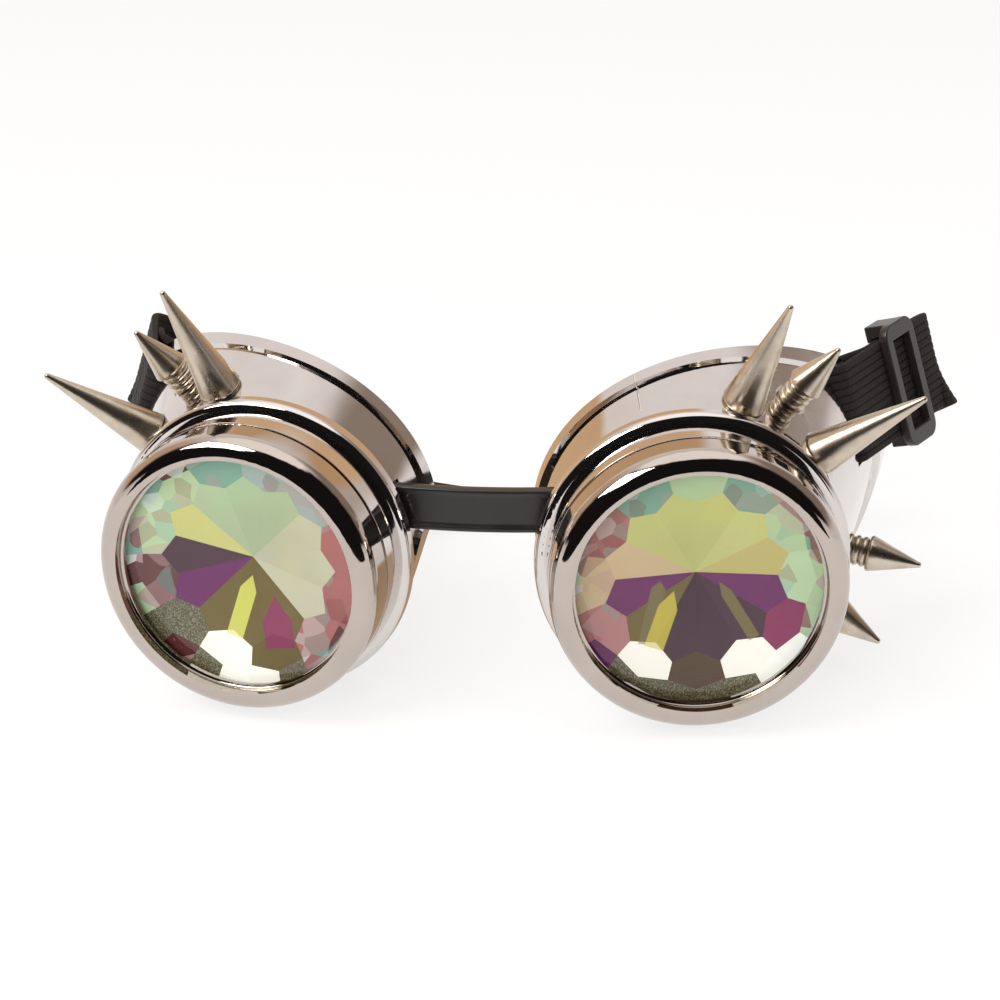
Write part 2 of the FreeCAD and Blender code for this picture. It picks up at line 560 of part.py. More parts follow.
def slant(label, end):
    # Stretch of strap that closes the loop down on to the outer layer
    body = new_body(label)
    sketch = new_sketch(body, "XY_Plane")
    outline(sketch, [("join_start", "loop_inner"), (end, "-tail_front"), (end, "-tail_back"),
                     ("join_start", "loop_outer")])
    pad = body.newObject("PartDesign::Pad", label + "_pad")
    pad.Profile = sketch
    pad.Midplane = True
    pad.Length = size("strap_width")
    pad.setExpression("Length", "sizes.strap_width")
    doc.recompute()
    return body


join = slant("join", "join_end")
strap_right = boolean("MultiFuse", "strap_right", [outer_layer, loop, inner_layer, join, tail])
doc.recompute()

# Buckle
buckle = new_body("strap_buckle")


def buckle_pad(name, points, arcs, offset, length, cut=False):
    sketch = new_sketch(buckle, "XZ_Plane", offset)
    outline(sketch, points, arcs)
    feature = buckle.newObject("PartDesign::Pocket" if cut else "PartDesign::Pad", name)
    feature.Profile = sketch
    feature.Length = size(length)
    feature.setExpression("Length", bound(length))
    feature.Reversed = cut
    tip_at(buckle, feature)


def rectangle(x1, z1, x2, z2):
    return [(x1, z1), (x2, z1), (x2, z2), (x1, z2)]


buckle_pad("face", [
    ("buckle_round_a", "-buckle_half"), ("buckle_round_b", "-buckle_half"),
    ("buckle_end", "-buckle_round_z"),
    ("buckle_end", "buckle_round_z"), ("buckle_round_b", "buckle_half"), ("buckle_round_a", "buckle_half"),
    ("buckle_start", "buckle_round_z"), ("buckle_start", "-buckle_round_z")],
    {1: "buckle_round", 3: "buckle_round", 5: "buckle_round", 7: "buckle_round"}, "buckle_face_y",
    "buckle_face")
buckle_pad("window", rectangle("window_a", "-window_z", "window_d", "window_z"), {}, "buckle_face_y",
           "buckle_face", True)
buckle_pad("top_leg", rectangle("buckle_round_a", "buckle_leg_z", "buckle_round_b", "buckle_half"), {},
           "-buckle_back_y", "buckle_leg")
buckle_pad("low_leg", rectangle("buckle_round_a", "-buckle_half", "buckle_round_b", "-buckle_leg_z"), {},
           "-buckle_back_y", "buckle_leg")
buckle_pad("back_plate", rectangle("buckle_round_a", "-buckle_half", "buckle_round_b", "buckle_half"), {},
           "-buckle_back_y", "buckle_back")
buckle_pad("front_gap", rectangle("window_a", "-window_z", "window_b", "window_z"), {}, "-buckle_back_y",
           "buckle_back", True)
buckle_pad("rear_gap", rectangle("window_c", "-window_z", "window_d", "window_z"), {}, "-buckle_back_y",
           "buckle_back", True)
doc.recompute()

# Strap on the left: the same loop, sewn down, with no buckle
left_layer = block("left_layer", ("left_run", "strap_thickness", "strap_width"),
                   (-size("loop_centre"), -size("loop_radius") - layer, -half_strap), Placement())
left_join = slant("left_join", "left_join_end")
sewn_loop = boolean("MultiFuse", "sewn_loop", [left_layer, loop, inner_layer, left_join])
STRAP_RIGHT = RIGHT * STRAP
STRAP_LEFT = RIGHT * LEFT_STRAP
sewn_loop.Placement = STRAP_LEFT
strap_left = mirrored("strap_left", sewn_loop)
doc.recompute()

# Loose strap behind the wearer's head: it leaves each straight stretch, sinks, turns flat and lies on
# the table
middle = Vector(0, size("strap_rear_y") - size("frame_shift"), layer + size("table_gap"))


def rear_section(path, t):
    # Rectangle across the strap at a share t of the way from a straight stretch to the middle
    a, b, c, d = path
    spot = a * (1 - t) ** 3 + b * (3 * t * (1 - t) ** 2) + c * (3 * t * t * (1 - t)) + d * t ** 3
    along = (b - a) * (1 - t) ** 2 + (c - b) * (2 * t * (1 - t)) + (d - c) * t * t
    along = along.normalize()
    upward = (Vector(0, 0, 1) - along * along.z).normalize()
    inward = upward.cross(along)
    ease = t * t * (3 - 2 * t)
    roll = math.radians(size("strap_tilt") + (90 - size("strap_tilt")) * ease)
    across = upward * math.cos(roll) + inward * math.sin(roll)
    through = across.cross(along)
    corners = [spot + across * (half_strap * i) + through * (layer * j)
               for i, j in ((-1, -1), (1, -1), (1, 1), (-1, 1))]
    return Part.makePolygon(corners + [corners[0]])


def rear_half(label, frame, straight, ease_out, ease_in):
    start = frame.multVec(Vector(size(straight), -size("loop_radius"), 0))
    ahead = frame.Rotation.multVec(Vector(1, 0, 0))
    path = (start, start + ahead * size(ease_out), middle + Vector(size(ease_in), 0, 0), middle)
    half = doc.addObject("Part::Feature", label)
    sections = [rear_section(path, i / REAR_STEPS) for i in range(REAR_STEPS + 1)]
    half.Shape = Part.makeLoft(sections, True, False)
    return half


REAR_STEPS = 12
rear_right = rear_half("rear_right", STRAP_RIGHT, "strap_straight", "right_ease_out", "right_ease_in")
rear_source = rear_half("rear_left_source", STRAP_LEFT, "left_straight", "left_ease_out", "left_ease_in")
rear_left = mirrored("rear_left", rear_source)
strap_rear = boolean("MultiFuse", "strap_rear", [rear_right, rear_left])
doc.recompute()

# Put the right-hand pieces in place, group what repeats, and mirror them for the left
for piece in (eyecup, left_cup, ring, washer, gasket):
    piece.Placement = RIGHT
lens.Placement = RIGHT * Placement(Vector(), Rotation(Vector(0, 1, 0), size("lens_turn")))
for piece in long_spikes + short_spikes + stacks + screws:
    piece.Placement = RIGHT * piece.Placement
strap_right.Placement = STRAP_RIGHT
buckle.Placement = STRAP_RIGHT
right = [eyecup, ring, washer, gasket, lens]
left = [mirrored("eyecup_left", left_cup)]
for piece in (ring, washer, gasket, lens):
    left.append(mirrored(piece.Label.replace("_right", "_left"), piece))
left_axis = RIGHT.Rotation.multVec(Vector(0, 1, 0))
left_axis.x = -left_axis.x
left_centre = Vector(-RIGHT.Base.x, RIGHT.Base.y, RIGHT.Base.z)
left[-1].Placement = Placement(Vector(), Rotation(left_axis, size("lens_turn")), left_centre)
for label, items, shared in (("long_spikes", long_spikes, 2), ("short_spikes", short_spikes, 1),
                             ("spike_stacks", stacks, 1), ("spike_screws", screws, LEFT_COUNT)):
    right.append(boolean("Compound", label + "_right", items))
    left_source = boolean("Compound", label + "_left_source", items[:shared])
    left.append(mirrored(label + "_left", left_source))
doc.recompute()

# Check and write every piece
pieces = right + left + [bridge, strap_left, strap_rear, strap_right, buckle]
os.makedirs("parts", exist_ok=True)
for item in doc.Objects:
    if "Invalid" in item.State or "Error" in item.State:
        raise RuntimeError("not built: " + item.Label)
whole = FreeCAD.BoundBox()
for piece in pieces:
    if piece.Shape.isNull() or not piece.Shape.isValid():
        raise RuntimeError("bad shape: " + piece.Label)
    whole.add(piece.Shape.optimalBoundingBox())
    piece.Shape.exportStep("parts/" + piece.Label + ".step")
    print(piece.Label, len(piece.Shape.Solids), "solids", round(piece.Shape.Volume, 1), "mm3")
print("box", whole)
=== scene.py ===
import bpy
import math
from mathutils import Matrix, Vector


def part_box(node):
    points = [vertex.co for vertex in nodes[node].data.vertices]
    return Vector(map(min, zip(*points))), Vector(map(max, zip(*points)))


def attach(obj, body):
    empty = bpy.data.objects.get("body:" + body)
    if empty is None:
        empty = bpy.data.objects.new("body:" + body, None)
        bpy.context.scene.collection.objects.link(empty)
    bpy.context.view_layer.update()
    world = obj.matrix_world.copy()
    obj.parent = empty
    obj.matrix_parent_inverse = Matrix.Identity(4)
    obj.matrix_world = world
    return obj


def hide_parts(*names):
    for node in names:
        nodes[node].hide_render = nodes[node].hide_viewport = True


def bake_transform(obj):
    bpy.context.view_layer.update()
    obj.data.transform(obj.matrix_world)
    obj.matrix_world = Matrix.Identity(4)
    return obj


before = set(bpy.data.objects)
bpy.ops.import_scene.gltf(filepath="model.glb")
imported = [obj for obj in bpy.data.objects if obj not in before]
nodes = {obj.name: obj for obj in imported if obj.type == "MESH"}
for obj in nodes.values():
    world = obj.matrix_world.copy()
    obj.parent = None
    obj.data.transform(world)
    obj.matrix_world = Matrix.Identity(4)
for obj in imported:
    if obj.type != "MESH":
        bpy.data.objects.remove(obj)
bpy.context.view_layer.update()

scene = bpy.context.scene
scene.view_settings.view_transform = "Standard"
print("frame loaded:", len(nodes), "nodes")

# The two sides, each with the sign of its X
sides = {"right": 1, "left": -1}


# Wraps a socket so that shader maths reads as plain arithmetic
class Wire:
    def __init__(self, tree, socket):
        self.tree = tree
        self.socket = socket

    def math(self, operation, other=0.0, swapped=False):
        values = [other, self] if swapped else [self, other]
        return self.tree.node("ShaderNodeMath", {"operation": operation}, {0: values[0], 1: values[1]})

    def __add__(self, other):
        return self.math("ADD", other)

    def __radd__(self, other):
        return self.math("ADD", other, True)

    def __sub__(self, other):
        return self.math("SUBTRACT", other)

    def __rsub__(self, other):
        return self.math("SUBTRACT", other, True)

    def __mul__(self, other):
        return self.math("MULTIPLY", other)

    def __rmul__(self, other):
        return self.math("MULTIPLY", other, True)

    def __truediv__(self, other):
        return self.math("DIVIDE", other)


# A material's or the world's node tree, with one method that makes nodes
class Tree:
    def __init__(self, holder):
        holder.use_nodes = True
        self.nodes = holder.node_tree.nodes
        self.links = holder.node_tree.links
        self.nodes.clear()

    def node(self, kind, settings=None, sockets=None, out=0):
        made = self.nodes.new(kind)
        for name, value in (settings or {}).items():
            setattr(made, name, value)
        for name, value in (sockets or {}).items():
            if isinstance(value, Wire):
                self.links.new(value.socket, made.inputs[name])
            else:
                made.inputs[name].default_value = value
        return Wire(self, made.outputs[out]) if len(made.outputs) else None

    def smooth(self, value, low, high):
        return self.node("ShaderNodeMapRange", {"interpolation_type": "SMOOTHSTEP"},
                         {"Value": value, "From Min": low, "From Max": high})

    def mix(self, share, first, second):
        return self.node("ShaderNodeMix", {"data_type": "RGBA"}, {0: share, 6: first, 7: second}, 2)

    def noise(self, place, scale, detail=3.0, rough=0.55):
        return self.node("ShaderNodeTexNoise", {}, {"Vector": place, "Scale": scale, "Detail": detail,
                                                    "Roughness": rough})

    def bump(self, height, strength, distance, normal=None):
        sockets = {"Height": height, "Strength": strength, "Distance": distance}
        if normal is not None:
            sockets["Normal"] = normal
        return self.node("ShaderNodeBump", {}, sockets)

    def parts(self, vector, count):
        return [self.node("ShaderNodeSeparateXYZ", {}, {"Vector": vector}, out) for out in range(count)]

    def uvMap(self, name):
        return self.parts(self.node("ShaderNodeUVMap", {"uv_map": name}, {}), 2)

    def output(self, shader):
        self.node("ShaderNodeOutputMaterial", {}, {"Surface": shader})

    def finish(self, sockets):
        self.output(self.node("ShaderNodeBsdfPrincipled", {}, sockets))


def newTree(name):
    material = bpy.data.materials.new(name)
    return material, Tree(material)


def objectPlace(tree, stretch=None):
    place = tree.node("ShaderNodeTexCoord", {}, {}, 3)
    if stretch is not None:
        place = tree.node("ShaderNodeMapping", {}, {"Vector": place, "Scale": stretch})
    return place


def solid(tint, level=1.0):
    return (*[level * c for c in tint], 1.0)


# Plated mouldings: mirror bright, with faint orange peel, wiping haze and a few hairline scratches
chromeLook = {"cloud": 90.0, "cloudEdges": (0.35, 0.75), "cloudDim": 0.94, "cloudHaze": 0.05,
              "peel": 420.0, "peelBump": (0.03, 0.00012),
              "hair": (900.0, 60.0, 240.0), "hairRough": 0.7,
              "scratchEdges": (0.66, 0.74), "scratchHaze": 0.06}

# The mould's parting line on the UV map "cup", a raised seam whose paler tint is a painted highlight:
# degrees at no depth, degrees per millimetre, first depth
partingLook = {"turn": -20.6, "slope": 0.109, "start": 20.8, "fade": 0.6, "edges": (0.30, 0.12),
               "bump": (0.5, 0.0003), "share": 0.6, "tint": (0.92, 0.89, 0.86)}


def platedChrome(name, tint, haze, parting=None):
    look = chromeLook
    material, tree = newTree(name)
    place = objectPlace(tree)
    cloud = tree.noise(place, look["cloud"], detail=4.0)
    peel = tree.noise(place, look["peel"], detail=2.0)
    hair = tree.noise(objectPlace(tree, look["hair"]), 1.0, detail=5.0, rough=look["hairRough"])
    scratch = tree.smooth(hair, *look["scratchEdges"])
    colour = tree.mix(tree.smooth(cloud, *look["cloudEdges"]), solid(tint), solid(tint, look["cloudDim"]))
    normal = tree.bump(peel, *look["peelBump"])
    if parting is not None:
        turn, depth = tree.uvMap("cup")
        away = (turn - parting["turn"] - parting["slope"] * depth).math("ABSOLUTE")
        begun = tree.smooth(depth, parting["start"], parting["start"] + parting["fade"])
        line = tree.smooth(away, *parting["edges"]) * begun
        normal = tree.bump(line, *parting["bump"], normal)
        # the paler tint along the seam is a painted highlight
        colour = tree.mix(line * parting["share"], colour, solid(parting["tint"]))
    rough = haze + look["cloudHaze"] * cloud + look["scratchHaze"] * scratch
    tree.finish({"Base Color": colour, "Metallic": 1.0, "Roughness": rough, "Normal": normal})
    return material


# Spikes: softer, warmer nickel with cloudy polish
nickelLook = {"tint": (0.64, 0.555, 0.45), "dim": 0.82, "cloud": 260.0, "cloudEdges": (0.3, 0.75),
              "grain": 1500.0, "grainBump": (0.08, 0.0001), "rough": 0.22, "cloudHaze": 0.14}


def warmNickel(name, look):
    material, tree = newTree(name)
    place = objectPlace(tree)
    cloud = tree.noise(place, look["cloud"], detail=4.0)
    grain = tree.noise(place, look["grain"], detail=2.0)
    share = tree.smooth(cloud, *look["cloudEdges"])
    colour = tree.mix(share, solid(look["tint"]), solid(look["tint"], look["dim"]))
    rough = look["rough"] + look["cloudHaze"] * cloud
    tree.finish({"Base Color": colour, "Metallic": 1.0, "Roughness": rough,
                 "Normal": tree.bump(grain, *look["grainBump"])})
    return material


# Screws: plain steel, cloudy and a little uneven
steelLook = {"dark": (0.42, 0.41, 0.40), "pale": (0.60, 0.59, 0.57), "cloud": 400.0, "bump": (0.15, 0.0001),
             "rough": 0.25, "cloudHaze": 0.2}


def plainSteel(name, look):
    material, tree = newTree(name)
    cloud = tree.noise(objectPlace(tree), look["cloud"], detail=4.0)
    colour = tree.mix(cloud, solid(look["dark"]), solid(look["pale"]))
    rough = look["rough"] + look["cloudHaze"] * cloud
    tree.finish({"Base Color": colour, "Metallic": 1.0, "Roughness": rough,
                 "Normal": tree.bump(cloud, *look["bump"])})
    return material


# Dark mouldings, rubber and thread: the tint, its roughness, its coat, and the grain's scale and relief
plasticLook = {"cloud": 120.0, "cloudEdges": (0.3, 0.7), "worn": 1.5, "cloudHaze": 0.15, "coatRough": 0.12,
               "grainDepth": 0.0001}


def darkPlastic(name, tint, rough, coat, grainScale, relief):
    look = plasticLook
    material, tree = newTree(name)
    place = objectPlace(tree)
    cloud = tree.noise(place, look["cloud"], detail=4.0)
    grain = tree.noise(place, grainScale)
    colour = tree.mix(tree.smooth(cloud, *look["cloudEdges"]), solid(tint), solid(tint, look["worn"]))
    normal = tree.bump(grain, relief, look["grainDepth"])
    tree.finish({"Base Color": colour, "Roughness": rough + look["cloudHaze"] * cloud, "Coat Weight": coat,
                 "Coat Roughness": look["coatRough"], "Normal": normal})
    return material


# Ribbed elastic: the ribs are modelled, the yarn is drawn along the piece's own UV map, in millimetres; the
# tint is lighter on the knit's dashes and yarn and darker in the rib valleys, which is painted shade
elasticLook = {"pitch": 20.0 / 13, "crownEdges": (0.30, 0.48), "dash": 1.35, "yarn": (3.2, 2.2),
               "rise": 0.68, "dashRise": 0.18, "yarnRise": 0.14, "fuzzRise": 0.2, "bump": (0.6, 0.00025),
               "fuzz": 3500.0, "wear": 70.0, "wearEdges": (0.45, 0.8), "wearShare": 0.35,
               "shadeEdges": (0.1, 0.95), "valleyShade": (0.0025, 0.002, 0.002), "crest": (0.014, 0.0113, 0.0102),
               "worn": (0.017, 0.014, 0.0128), "rough": 0.74, "fuzzHaze": 0.2, "shine": 0.25,
               "sheen": 0.03, "sheenRough": 0.5}


def ribbedElastic(name, look):
    material, tree = newTree(name)
    along, across = tree.uvMap("strap")
    phase = across / look["pitch"] + 0.5
    crown = 1.0 - tree.smooth((phase.math("FRACT") - 0.5).math("ABSOLUTE"), *look["crownEdges"])
    dash = ((along / look["dash"] + phase.math("FLOOR") * 0.5) * (2 * math.pi)).math("SINE") * 0.5 + 0.5
    yarn = ((along * look["yarn"][0] + across * look["yarn"][1]) * math.pi).math("SINE") * 0.5 + 0.5
    fuzz = tree.noise(objectPlace(tree), look["fuzz"])
    wear = tree.noise(objectPlace(tree), look["wear"])
    raised = crown * (look["rise"] + look["dashRise"] * dash + look["yarnRise"] * yarn)
    # darker towards the rib valleys: painted shade in the hollows
    dark = tree.mix(tree.smooth(raised, *look["shadeEdges"]), solid(look["valleyShade"]), solid(look["crest"]))
    worn = tree.smooth(wear, *look["wearEdges"]) * look["wearShare"]
    tree.finish({"Base Color": tree.mix(worn, dark, solid(look["worn"])),
                 "Roughness": look["rough"] + look["fuzzHaze"] * fuzz, "Specular IOR Level": look["shine"],
                 "Sheen Weight": look["sheen"], "Sheen Roughness": look["sheenRough"],
                 "Normal": tree.bump(raised + look["fuzzRise"] * fuzz, *look["bump"])})
    return material


shellChrome = platedChrome("shellChrome", (0.67, 0.63, 0.605), 0.035, partingLook)
# The rings carry a darker copy of the cups' chrome: painted shade that dims their reflections
shadedRingChrome = platedChrome("shadedRingChrome", (0.52, 0.46, 0.415), 0.025)
spikeNickel = warmNickel("spikeNickel", nickelLook)
screwSteel = plainSteel("screwSteel", steelLook)
washerPlastic = darkPlastic("washerPlastic", (0.03, 0.03, 0.03), 0.5, 0.0, 900.0, 0.2)
gasketRubber = darkPlastic("gasketRubber", (0.02, 0.02, 0.02), 0.6, 0.0, 700.0, 0.3)
bridgeVinyl = darkPlastic("bridgeVinyl", (0.008, 0.0072, 0.0066), 0.24, 0.08, 500.0, 0.06)
bucklePlastic = darkPlastic("bucklePlastic", (0.011, 0.0088, 0.0078), 0.28, 0.06, 1400.0, 0.12)
elasticWeave = ribbedElastic("elasticWeave", elasticLook)
stitchThread = darkPlastic("stitchThread", (0.030, 0.027, 0.025), 0.6, 0.0, 2600.0, 0.4)
print("finishes ready")

# Shared by the makers below: weld distances in metres, angles in degrees
makeLook = {"weld": 0.000002, "sweepWeld": 0.0000005, "flat": 2.0, "edge": 40.0, "sweepSmooth": 50.0,
            "blockSmooth": 40.0, "bevelSteps": 3}


def clearSelection():
    if bpy.context.object is not None and bpy.context.object.mode != "OBJECT":
        bpy.ops.object.mode_set(mode="OBJECT")
    bpy.ops.object.select_all(action="DESELECT")


def dress(piece, material):
    piece.data.materials.clear()
    piece.data.materials.append(material)


def applyModifier(piece, kind, settings):
    bpy.ops.object.modifier_add(type=kind)
    modifier = piece.modifiers[-1]
    for name, value in settings.items():
        setattr(modifier, name, value)
    bpy.ops.object.modifier_apply(modifier=modifier.name)


# Sweeps a closed section along stations of centre, across and outward direction
def sweep(name, section, stations):
    clearSelection()
    around = len(section)
    bpy.ops.mesh.primitive_grid_add(x_subdivisions=around, y_subdivisions=len(stations) - 1, size=1.0)
    piece = bpy.context.object
    piece.name = name
    mesh = piece.data
    lengths = [0.0]
    for last, here in zip(stations, stations[1:]):
        lengths.append(lengths[-1] + (here[0] - last[0]).length)
    layer = mesh.uv_layers[0]
    layer.name = "strap"
    for loop in mesh.loops:
        row, column = divmod(loop.vertex_index, around + 1)
        layer.data[loop.index].uv = (1000 * lengths[row], 1000 * section[column % around][0])
    for vertex in mesh.vertices:
        row, column = divmod(vertex.index, around + 1)
        centre, across, outward = stations[row]
        vertex.co = centre + across * section[column % around][0] + outward * section[column % around][1]
    bpy.ops.object.mode_set(mode="EDIT")
    bpy.ops.mesh.select_all(action="SELECT")
    bpy.ops.mesh.remove_doubles(threshold=makeLook["sweepWeld"])
    bpy.ops.mesh.fill_holes(sides=0)
    bpy.ops.mesh.select_all(action="SELECT")
    bpy.ops.mesh.normals_make_consistent(inside=False)
    bpy.ops.object.mode_set(mode="OBJECT")
    bpy.ops.object.shade_smooth_by_angle(angle=math.radians(makeLook["sweepSmooth"]))
    return piece


# A bevelled block shaped in edit mode and then set in place
def softBlock(name, dims, place, bevel):
    clearSelection()
    bpy.ops.mesh.primitive_cube_add(size=1.0)
    piece = bpy.context.object
    piece.name = name
    bpy.ops.object.mode_set(mode="EDIT")
    bpy.ops.mesh.select_all(action="SELECT")
    bpy.ops.transform.resize(value=dims)
    bpy.ops.object.mode_set(mode="OBJECT")
    applyModifier(piece, "BEVEL", {"width": bevel, "segments": makeLook["bevelSteps"]})
    piece.matrix_world = place
    bpy.ops.object.transform_apply(location=True, rotation=True, scale=True)
    bpy.ops.object.shade_smooth_by_angle(angle=math.radians(makeLook["blockSmooth"]))
    return piece


# Joins the pieces into the last one
def joined(pieces):
    clearSelection()
    for piece in pieces:
        piece.select_set(True)
    bpy.context.view_layer.objects.active = pieces[-1]
    bpy.ops.object.join()
    return pieces[-1]


# A copy of a CAD node with its triangles joined, so that it can be cut, softened and shaded smoothly
def smoothCopy(node, name, body, material, angle=28.0, bevel=None, cutters=(), adders=()):
    clearSelection()
    piece = bpy.data.objects.new(name, nodes[node].data.copy())
    scene.collection.objects.link(piece)
    bpy.context.view_layer.objects.active = piece
    piece.select_set(True)
    bpy.ops.object.mode_set(mode="EDIT")
    bpy.ops.mesh.select_all(action="SELECT")
    bpy.ops.mesh.remove_doubles(threshold=makeLook["weld"])
    if bevel is not None:
        bpy.ops.mesh.dissolve_limited(angle_limit=math.radians(makeLook["flat"]))
    bpy.ops.object.mode_set(mode="OBJECT")
    bpy.ops.mesh.customdata_custom_splitnormals_clear()
    for operation, tools in (("DIFFERENCE", cutters), ("UNION", adders)):
        for tool in tools:
            applyModifier(piece, "BOOLEAN", {"operation": operation, "object": tool})
            bpy.data.objects.remove(tool)
    if bevel is not None:
        applyModifier(piece, "BEVEL", {"width": bevel, "segments": makeLook["bevelSteps"],
                                       "angle_limit": math.radians(makeLook["edge"])})
    bpy.ops.object.shade_smooth_by_angle(angle=math.radians(angle))
    applyModifier(piece, "WEIGHTED_NORMAL", {"keep_sharp": True})
    dress(piece, material)
    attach(piece, body)
    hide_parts(node)
    return piece


# Where each cup stands: the middle of its thread's front, mirrored for the left, and its turn
cupStand = {"place": (0.04385, -0.0146926, 0.0302), "toe": 9.2}


# A cup's middle, its direction backwards and its direction to the viewer's right
def cupAxes(side):
    sign = sides[side]
    toe = math.radians(cupStand["toe"])
    x, y, z = cupStand["place"]
    back = Vector((-sign * math.sin(toe), math.cos(toe), 0))
    across = Vector((math.cos(toe), sign * math.sin(toe), 0))
    return Vector((sign * x, y, z)), back, across


# The direction away from a cup's axis, turned from the top
def spoke(across, turn):
    return across * math.sin(turn) + Vector((0, 0, math.cos(turn)))


# The UV map "cup" holds each corner's turn from the top, in degrees and on the right cup only, and its
# depth behind the front, in millimetres
def markDepth(piece, side):
    middle, back, across = cupAxes(side)
    layer = piece.data.uv_layers.new(name="cup")
    for loop in piece.data.loops:
        spot = piece.data.vertices[loop.vertex_index].co - middle
        turn = math.degrees(math.atan2(spot.dot(across), spot.z)) if side == "right" else 0.0
        layer.data[loop.index].uv = (turn, 1000 * spot.dot(back))


# Two-start thread, cut as a vee that fades out before the shoulder
threadLook = {"radius": 0.0264, "lead": 0.003, "first": 0.0009, "last": 0.0057, "perTurn": 64, "fade": 10,
              "lift": 0.0006, "vee": ((-0.00045, 0.00015), (0.0, -0.00042), (0.00045, 0.00015))}


def threadCutter(side, look):
    middle, back, across = cupAxes(side)
    steps = round((look["last"] - look["first"]) / look["lead"] * look["perTurn"])
    starts = []
    for begin in (0.0, math.pi):
        stations = []
        for i in range(steps + 1):
            outward = spoke(across, begin + 2 * math.pi * i / look["perTurn"])
            depth = look["first"] + look["lead"] * i / look["perTurn"]
            rise = look["lift"] * max(0.0, 1 - (steps - i) / look["fade"])
            stations.append((middle + back * depth + outward * (look["radius"] + rise), back, outward))
        starts.append(sweep("thread", look["vee"], stations))
    return starts


# Hollow roll that softens the corner inside each ring's mouth
lipLook = {"radius": 0.0239, "size": 0.00062, "sunk": 0.0001, "bends": (10, 24, 38, 52, 66, 80),
           "perTurn": 120}


def lipRoll(side, look):
    middle, back, across = cupAxes(side)
    size, sunk = look["size"], look["sunk"]
    bends = [math.radians(bend) for bend in look["bends"]]
    hollow = [(size * (math.sin(a) - 1), size * (math.cos(a) - 1)) for a in bends]
    section = [(-size, sunk), *hollow, (sunk, -size), (sunk, sunk)]
    stations = []
    for i in range(look["perTurn"] + 1):
        outward = spoke(across, 2 * math.pi * (i % look["perTurn"]) / look["perTurn"])
        stations.append((middle + outward * look["radius"], back, outward))
    return sweep("lip", section, stations)


# Cross recesses in the screw heads, which are found as the flat discs of their size in square metres
recessLook = {"least": 0.0000080, "most": 0.0000092, "sameTurn": 0.9999, "sameLevel": 0.00001,
              "slot": (0.00056, 0.0026, 0.0014), "second": 0.9, "bevel": 0.00005}


def headMiddles(mesh, look):
    discs = []
    for face in mesh.polygons:
        level = face.normal.dot(face.center)
        for disc in discs:
            alike = disc["normal"].dot(face.normal) > look["sameTurn"]
            if alike and abs(disc["level"] - level) < look["sameLevel"]:
                break
        else:
            disc = {"normal": face.normal.copy(), "level": level, "area": 0.0, "sum": Vector()}
            discs.append(disc)
        disc["area"] += face.area
        disc["sum"] += face.center * face.area
    return [(disc["sum"] / disc["area"], disc["normal"]) for disc in discs
            if look["least"] < disc["area"] < look["most"]]


def recessCutters(side, look):
    heads = headMiddles(nodes["spike_screws_" + side].data, look)
    print("screw heads:", len(heads))
    wide, long, deep = look["slot"]
    cutters = []
    for dims in ((wide, long, deep), (long, wide, look["second"] * deep)):
        blocks = []
        for middle, normal in heads:
            place = Matrix.Translation(middle) @ normal.to_track_quat("Z", "Y").to_matrix().to_4x4()
            blocks.append(softBlock("recess", dims, place, look["bevel"]))
        cutters.append(joined(blocks))
    return cutters


# The spikes' pieces by their CAD nodes, the angles in degrees up to which spikes and buckle shade smoothly,
# and the width of the buckle's soft edges
spikeLook = {"angle": 40.0, "groups": {"long_spikes": "long_cones", "short_spikes": "short_cones",
                                       "spike_stacks": "ring_stacks"}}
sliderLook = {"angle": 40.0, "bevel": 0.0003}

for side in sides:
    cup = side + "_cup"
    shell = smoothCopy("eyecup_" + side, "cup_" + side, cup, shellChrome,
                       cutters=threadCutter(side, threadLook))
    markDepth(shell, side)
    smoothCopy("lens_ring_" + side, "ring_" + side, side + "_ring", shadedRingChrome,
               adders=[lipRoll(side, lipLook)])
    smoothCopy("slip_washer_" + side, "washer_" + side, side + "_washer", washerPlastic)
    smoothCopy("lens_gasket_" + side, "gasket_" + side, cup, gasketRubber)
    for node, name in spikeLook["groups"].items():
        smoothCopy(node + "_" + side, name + "_" + side, cup, spikeNickel,
                   spikeLook["angle"])
    smoothCopy("spike_screws_" + side, "studs_" + side, cup, screwSteel,
               cutters=recessCutters(side, recessLook))
smoothCopy("strap_buckle", "slider", "buckle", bucklePlastic, sliderLook["angle"],
           sliderLook["bevel"])
print("hard pieces dressed")


